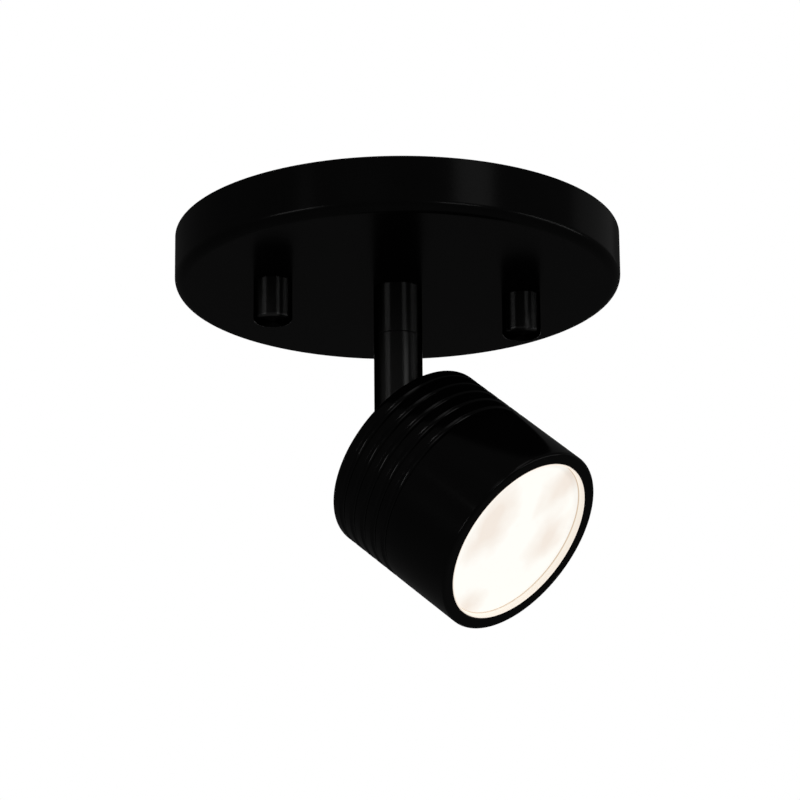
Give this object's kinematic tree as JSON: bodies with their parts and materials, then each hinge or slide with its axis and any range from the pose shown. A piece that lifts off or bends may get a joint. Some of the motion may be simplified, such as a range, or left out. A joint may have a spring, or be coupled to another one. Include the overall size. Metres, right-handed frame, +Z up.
{
  "type": "ceiling spotlight",
  "caption": "Black single-head LED ceiling spotlight: a round canopy, a short stem that swivels, and a grooved cylindrical head that tilts, with a frosted lens.",
  "frame": {"origin": "on the ceiling plane at the canopy's centre, which is the middle of the mounting strap's top face", "axes": "+Z up into the ceiling, +X along the mounting strap and the line of the two cap nuts, +Y across the strap towards the driver"},
  "size_m": [0.127, 0.127, 0.1175],
  "materials": {
    "black_canopy": "satin black powder coat",
    "black_stem": "satin black",
    "black_head": "satin black on turned aluminium",
    "black_steel": "black oxide steel",
    "zinc_steel": "zinc plated steel",
    "brass": "plain turned brass",
    "green_screw": "green passivated steel",
    "white_plastic": "moulded white plastic",
    "orange_plastic": "moulded orange plastic",
    "black_plastic": "moulded black plastic",
    "board_green": "green solder mask",
    "board_white": "white solder mask on aluminium",
    "tape_yellow": "yellow film tape over ferrite",
    "capacitor_sleeve": "dark shrink sleeve",
    "phosphor": "yellow phosphor in silicone",
    "foam": "white foam tape",
    "silicone": "translucent white silicone",
    "black_rubber": "black rubber",
    "thermal_grey": "grey thermal pad",
    "frosted_lens": "frosted, lit warm white"
  },
  "bodies": {
    "canopy_assembly": {"canopy": "black_canopy", "mounting_strap": "zinc_steel", "studs": "zinc_steel", "stud_nuts": "zinc_steel", "cap_nuts": "black_stem", "ground_screw": "green_screw", "nipple": "brass", "toothed_washer": "zinc_steel", "nipple_nut": "brass", "nipple_bushing": "white_plastic", "collar": "black_stem", "collar_stop_pin": "zinc_steel", "driver_pad": "foam", "driver_case": "white_plastic", "driver_lid": "white_plastic", "driver_board": "board_green", "driver_transformer": "tape_yellow", "driver_capacitors": "capacitor_sleeve", "driver_terminals": "orange_plastic"},
    "stem_assembly": {"stem": "black_stem", "stem_stop_pin": "zinc_steel", "glide_washer": "black_plastic", "spring_washer": "zinc_steel", "swivel_nut": "brass"},
    "head_assembly": {"tilt_bracket": "black_steel", "bracket_screws": "black_steel", "tilt_screw": "black_steel", "tilt_washers": "white_plastic", "tilt_nut": "zinc_steel", "head_housing": "black_head", "lead_grommet": "black_rubber", "thermal_pad": "thermal_grey", "led_board": "board_white", "led_chip": "phosphor", "board_screws": "zinc_steel", "reflector": "white_plastic", "lens_gasket": "silicone", "lens": "frosted_lens"}
  },
  "joints": [
    {"name": "swivel", "type": "hinge", "parent": "canopy_assembly", "child": "stem_assembly", "pos_m": [0, 0, -0.0306], "axis": [0, 0, 1], "range_deg": [-165, 165]},
    {"name": "tilt", "type": "hinge", "parent": "stem_assembly", "child": "head_assembly", "pos_m": [0, 0, -0.0637], "axis": [-0.6428, -0.766, 0], "range_deg": [-119, 21]}
  ]
}
